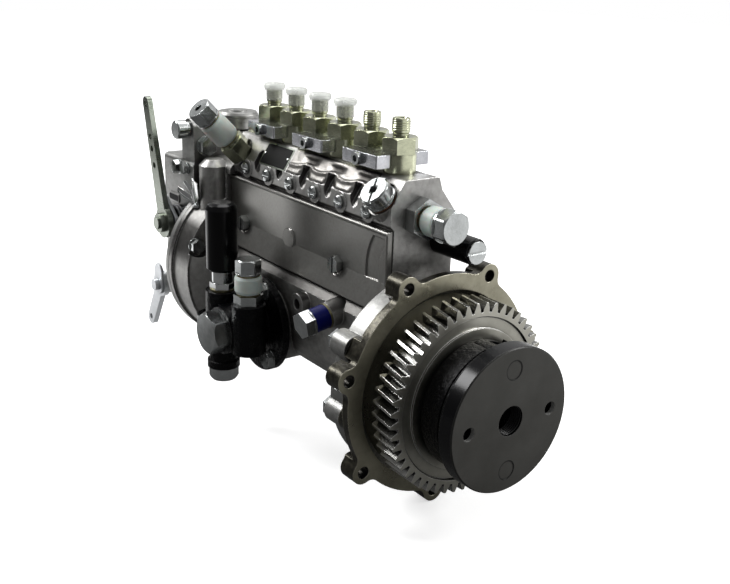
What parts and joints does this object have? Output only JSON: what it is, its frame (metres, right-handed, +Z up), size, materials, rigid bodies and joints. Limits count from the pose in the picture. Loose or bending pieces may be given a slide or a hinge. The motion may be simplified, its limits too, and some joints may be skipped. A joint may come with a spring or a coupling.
{
  "type": "diesel injection pump",
  "caption": "In-line diesel injection pump with governor, feed pump and a drive gear on an automatic timer, on a round engine flange",
  "frame": {"origin": "on the camshaft axis, in the plane of the mounting flange's front face", "axes": "+X along the camshaft towards the drive gear, +Z up towards the fuel outlets, -Y towards the side cover and feed pump"},
  "size_m": [0.3963, 0.1737, 0.2605],
  "materials": {
    "bare_aluminium": "sand-cast and shot-blasted",
    "cover_aluminium": "die-cast, satin",
    "gasket": "pressed fibre",
    "zinc": "bright zinc plate",
    "yellow_zinc": "pale yellow zinc plate",
    "steel": "ground",
    "spring_steel": "wound wire",
    "olive_iron": "machined face, oiled casting",
    "black_iron": "gloss black oxide",
    "gear_steel": "hobbed and ground",
    "white_plastic": "moulded",
    "blue_plastic": "moulded",
    "clear_plastic": "translucent, moulded",
    "black_plastic": "moulded",
    "seal_rubber": "moulded",
    "copper": "stamped"
  },
  "bodies": {
    "pump_body": {"pump_housing": "bare_aluminium", "side_cover": "cover_aluminium", "gaskets": "gasket", "cover_screws": "zinc", "barrels": "steel", "delivery_valves": "steel", "delivery_valve_holders": "yellow_zinc", "outlet_caps": "clear_plastic", "lock_clamps": "zinc", "lock_bolts": "zinc", "tappets": "steel", "tappet_rollers": "steel", "plunger_springs": "spring_steel", "spring_seats": "steel", "camshaft_bearings": "steel", "bearing_cover": "bare_aluminium", "shaft_seal": "seal_rubber", "mounting_flange": "olive_iron", "case_bolts": "zinc", "barrel_screws": "zinc", "bleed_screw": "zinc", "seal_washers": "copper", "union_bolts": "zinc", "union_sleeves": "white_plastic", "union_nuts": "zinc", "rack_cap": "black_plastic", "rack_cap_plug": "steel", "feed_pump_body": "black_iron", "feed_pump_plugs": "zinc", "feed_pump_nuts": "zinc", "priming_barrel": "zinc", "lube_sleeve": "blue_plastic", "governor_housing": "bare_aluminium", "governor_cover": "bare_aluminium", "governor_cap": "steel", "lever_pin": "steel", "overflow_valve": "yellow_zinc"},
    "camshaft_set": {"camshaft": "steel", "timer_hub": "black_iron", "timer_disc": "black_iron", "timer_pins": "black_iron", "shaft_nut": "steel", "governor_carrier": "steel"},
    "drive_gear": {"drive_gear": "gear_steel"},
    "timer_weight_a": {"timer_weight_a": "black_iron"},
    "timer_weight_b": {"timer_weight_b": "black_iron"},
    "control_rack": {"control_rack": "steel"},
    "priming_knob": {"priming_knob": "black_plastic"},
    "speed_lever": {"speed_lever": "zinc"},
    "stop_lever": {"stop_lever": "zinc"},
    "governor_weight_a": {"governor_weight_a": "steel"},
    "governor_weight_b": {"governor_weight_b": "steel"},
    "governor_sleeve": {"governor_sleeve": "steel"},
    "governor_lever": {"governor_lever": "steel"},
    "plunger_unit_1": {"plunger_unit_1": "steel"},
    "plunger_unit_2": {"plunger_unit_2": "steel"},
    "plunger_unit_3": {"plunger_unit_3": "steel"},
    "plunger_unit_4": {"plunger_unit_4": "steel"},
    "plunger_unit_5": {"plunger_unit_5": "steel"},
    "plunger_unit_6": {"plunger_unit_6": "steel"}
  },
  "joints": [
    {"name": "camshaft_spin", "type": "hinge", "parent": "pump_body", "child": "camshaft_set", "pos_m": [0, 0, 0], "axis": [1, 0, 0], "continuous": true},
    {"name": "gear_advance", "type": "hinge", "parent": "camshaft_set", "child": "drive_gear", "pos_m": [0.019, 0, 0], "axis": [1, 0, 0], "range_deg": [0, 5]},
    {"name": "weight_a_swing", "type": "hinge", "parent": "camshaft_set", "child": "timer_weight_a", "pos_m": [0.043, 0, 0.0338], "axis": [-1, 0, 0], "range_deg": [0, 6]},
    {"name": "weight_b_swing", "type": "hinge", "parent": "camshaft_set", "child": "timer_weight_b", "pos_m": [0.043, 0, -0.0338], "axis": [-1, 0, 0], "range_deg": [0, 6]},
    {"name": "rack_slide", "type": "slide", "parent": "pump_body", "child": "control_rack", "axis": [1, 0, 0], "range_m": [-0.0105, 0.0105]},
    {"name": "plunger_turn_1", "type": "hinge", "parent": "pump_body", "child": "plunger_unit_1", "pos_m": [-0.055, 0, 0.09], "axis": [0, 0, 1], "range_deg": [-41, 41]},
    {"name": "plunger_turn_2", "type": "hinge", "parent": "pump_body", "child": "plunger_unit_2", "pos_m": [-0.087, 0, 0.09], "axis": [0, 0, 1], "range_deg": [-41, 41]},
    {"name": "plunger_turn_3", "type": "hinge", "parent": "pump_body", "child": "plunger_unit_3", "pos_m": [-0.119, 0, 0.09], "axis": [0, 0, 1], "range_deg": [-41, 41]},
    {"name": "plunger_turn_4", "type": "hinge", "parent": "pump_body", "child": "plunger_unit_4", "pos_m": [-0.151, 0, 0.09], "axis": [0, 0, 1], "range_deg": [-41, 41]},
    {"name": "plunger_turn_5", "type": "hinge", "parent": "pump_body", "child": "plunger_unit_5", "pos_m": [-0.183, 0, 0.09], "axis": [0, 0, 1], "range_deg": [-41, 41]},
    {"name": "plunger_turn_6", "type": "hinge", "parent": "pump_body", "child": "plunger_unit_6", "pos_m": [-0.215, 0, 0.09], "axis": [0, 0, 1], "range_deg": [-41, 41]},
    {"name": "governor_lever_swing", "type": "hinge", "parent": "pump_body", "child": "governor_lever", "pos_m": [-0.2784, 0, 0.016], "axis": [0, 1, 0], "range_deg": [-8.3, 8.3]},
    {"name": "governor_sleeve_slide", "type": "slide", "parent": "pump_body", "child": "governor_sleeve", "axis": [1, 0, 0], "range_m": [-0.0024, 0.0024]},
    {"name": "governor_weight_a_swing", "type": "hinge", "parent": "camshaft_set", "child": "governor_weight_a", "pos_m": [-0.247, 0, 0.021], "axis": [0, 1, 0], "range_deg": [-12.2, 12.2]},
    {"name": "governor_weight_b_swing", "type": "hinge", "parent": "camshaft_set", "child": "governor_weight_b", "pos_m": [-0.247, 0, -0.021], "axis": [0, -1, 0], "range_deg": [-12.2, 12.2]},
    {"name": "speed_lever_swing", "type": "hinge", "parent": "pump_body", "child": "speed_lever", "pos_m": [-0.294, -0.06, 0.052], "axis": [0, 1, 0], "range_deg": [-20, 25]},
    {"name": "stop_lever_swing", "type": "hinge", "parent": "pump_body", "child": "stop_lever", "pos_m": [-0.304, -0.06, -0.005], "axis": [0, 1, 0], "range_deg": [0, 35], "stiffness_Nm_per_rad": 0.3, "springref_deg": -11.46},
    {"name": "priming_knob_slide", "type": "slide", "parent": "pump_body", "child": "priming_knob", "axis": [0, 0, 1], "range_m": [0, 0.018]}
  ],
  "couplings": [
    {"joint": "weight_a_swing", "follows": "gear_advance", "ratio": 1.2},
    {"joint": "weight_b_swing", "follows": "gear_advance", "ratio": 1.2},
    {"joint": "plunger_turn_1", "follows": "rack_slide", "rad_per_m": -66.667},
    {"joint": "plunger_turn_2", "follows": "rack_slide", "rad_per_m": -66.667},
    {"joint": "plunger_turn_3", "follows": "rack_slide", "rad_per_m": -66.667},
    {"joint": "plunger_turn_4", "follows": "rack_slide", "rad_per_m": -66.667},
    {"joint": "plunger_turn_5", "follows": "rack_slide", "rad_per_m": -66.667},
    {"joint": "plunger_turn_6", "follows": "rack_slide", "rad_per_m": -66.667},
    {"joint": "governor_lever_swing", "follows": "rack_slide", "rad_per_m": 13.514},
    {"joint": "governor_sleeve_slide", "follows": "rack_slide", "ratio": -0.21622},
    {"joint": "governor_weight_a_swing", "follows": "rack_slide", "rad_per_m": 20},
    {"joint": "governor_weight_b_swing", "follows": "rack_slide", "rad_per_m": 20}
  ]
}
